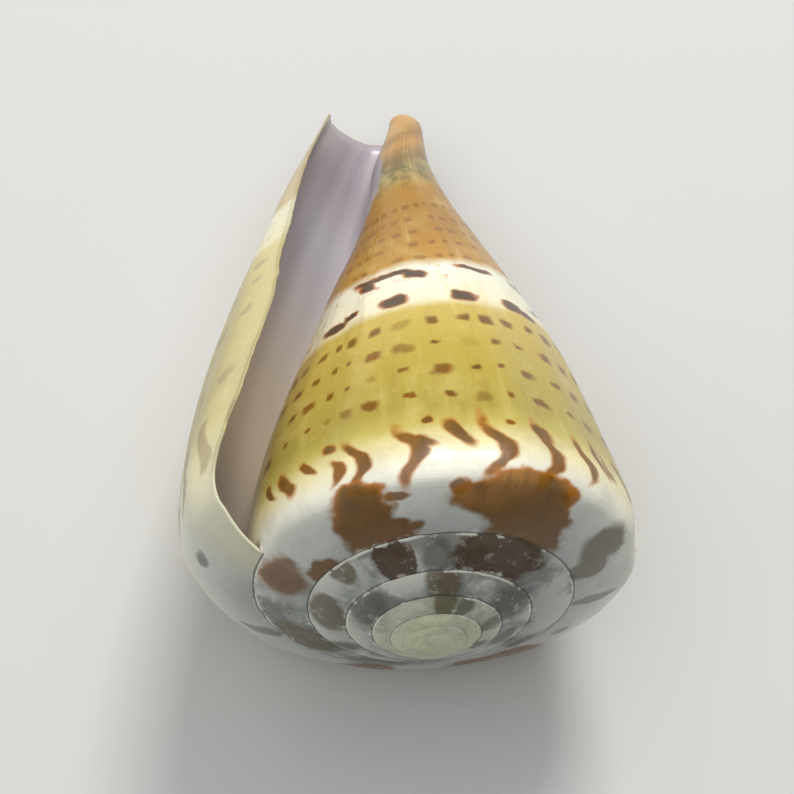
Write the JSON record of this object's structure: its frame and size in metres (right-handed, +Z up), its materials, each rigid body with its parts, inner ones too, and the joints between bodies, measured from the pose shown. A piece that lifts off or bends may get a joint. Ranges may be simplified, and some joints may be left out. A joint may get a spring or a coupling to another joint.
{
  "type": "cone shell",
  "caption": "Empty cone-shaped sea snail shell with a low spire, square shoulder, narrow full-length aperture and spotted pattern, lying on its back.",
  "frame": {"origin": "centre of the shell's outline seen from above, on the surface it lies on", "axes": "+Y from the spire towards the front end, +Z up, with the outer lip towards -X"},
  "size_m": [0.0422, 0.0598, 0.0395],
  "materials": {
    "shell": "semi-gloss shell, olive yellow with white bands, brown blotches and rows of brown dashes; chalky spire, pale violet inside"
  },
  "bodies": {
    "root": {"cone_shell": "shell"}
  },
  "joints": []
}
